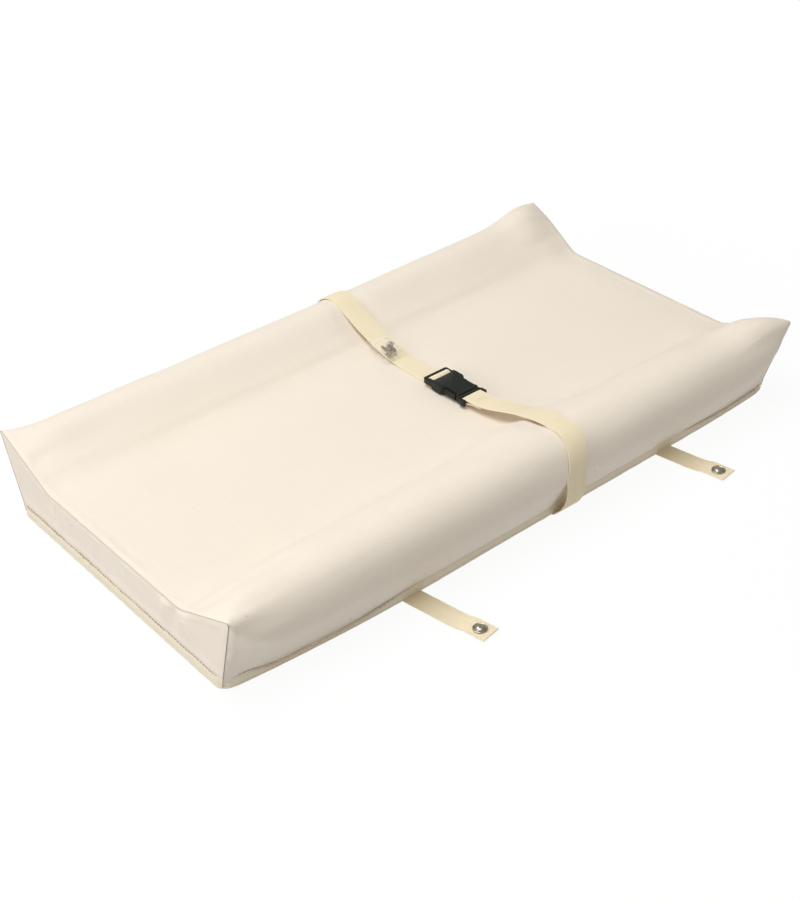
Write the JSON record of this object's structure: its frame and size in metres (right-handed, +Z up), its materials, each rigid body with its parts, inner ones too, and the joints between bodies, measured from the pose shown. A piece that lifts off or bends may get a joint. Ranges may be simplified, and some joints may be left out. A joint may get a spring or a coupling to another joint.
{
  "type": "changing pad",
  "caption": "Contoured changing pad with a raised bolster along each long side, a buckled safety belt, snap anchor straps and a bag of screw studs.",
  "frame": {"origin": "middle of the flat underside, on the surface that the pad lies on", "axes": "+X runs along the pad, +Y to the long side with the buckle's socket half, +Z up"},
  "size_m": [0.806, 0.5472, 0.1017],
  "materials": {
    "foam": "open-cell foam",
    "liner_film": "thin waterproof film",
    "cover_cotton": "unbleached cotton, plain weave",
    "base_cotton": "unbleached cotton, plain weave",
    "binding_cotton": "cotton binding tape",
    "webbing": "flat woven cotton webbing",
    "thread": "sewing thread",
    "buckle_plastic": "satin moulded acetal",
    "nickel": "nickel plate",
    "packet_film": "clear polyethylene film"
  },
  "bodies": {
    "pad": {"foam_slab": "foam", "foam_wedge_near": "foam", "foam_wedge_far": "foam", "waterproof_liner": "liner_film", "cover_top_panel": "cover_cotton", "cover_end_left": "cover_cotton", "cover_end_right": "cover_cotton", "cover_bottom_panel": "base_cotton", "base_binding": "binding_cotton", "belt_far": "webbing", "belt_near": "webbing", "plug_loop_stitch": "thread", "bar_tacks": "thread", "buckle_plug": "buckle_plastic", "anchor_root_left": "webbing", "anchor_root_right": "webbing"},
    "buckle_socket": {"buckle_socket": "buckle_plastic", "adjuster_loop": "webbing"},
    "prong_left": {"prong_left": "buckle_plastic"},
    "prong_right": {"prong_right": "buckle_plastic"},
    "anchor_strap_left": {"anchor_strap_left": "webbing", "snap_cap_left": "nickel", "snap_socket_left": "nickel"},
    "anchor_strap_right": {"anchor_strap_right": "webbing", "snap_cap_right": "nickel", "snap_socket_right": "nickel"},
    "hardware_packet": {"hardware_packet": "packet_film", "screw_stud_a": "nickel", "screw_stud_b": "nickel"}
  },
  "joints": [
    {"name": "buckle_release", "type": "slide", "parent": "pad", "child": "buckle_socket", "axis": [0, 1, 0], "range_m": [0, 0.042], "deforming": ["prong_left", "prong_right"]},
    {"name": "prong_left_squeeze", "type": "hinge", "parent": "pad", "child": "prong_left", "pos_m": [0.0465, -0.0407, 0.0693], "axis": [0, 0, -1], "range_deg": [0, 5], "stiffness_Nm_per_rad": 0.02},
    {"name": "prong_right_squeeze", "type": "hinge", "parent": "pad", "child": "prong_right", "pos_m": [0.0675, -0.0407, 0.0693], "axis": [0, 0, 1], "range_deg": [0, 5], "stiffness_Nm_per_rad": 0.02},
    {"name": "anchor_left_swing", "type": "hinge", "parent": "pad", "child": "anchor_strap_left", "pos_m": [-0.173, -0.20888, 0.0007], "axis": [-1, 0, 0], "range_deg": [-90, 60]},
    {"name": "anchor_right_swing", "type": "hinge", "parent": "pad", "child": "anchor_strap_right", "pos_m": [0.213, -0.20848, 0.0007], "axis": [-1, 0, 0], "range_deg": [-90, 60]},
    {"name": "packet_lift", "type": "slide", "parent": "pad", "child": "hardware_packet", "axis": [0, 0, 1], "range_m": [0, 0.08]}
  ]
}
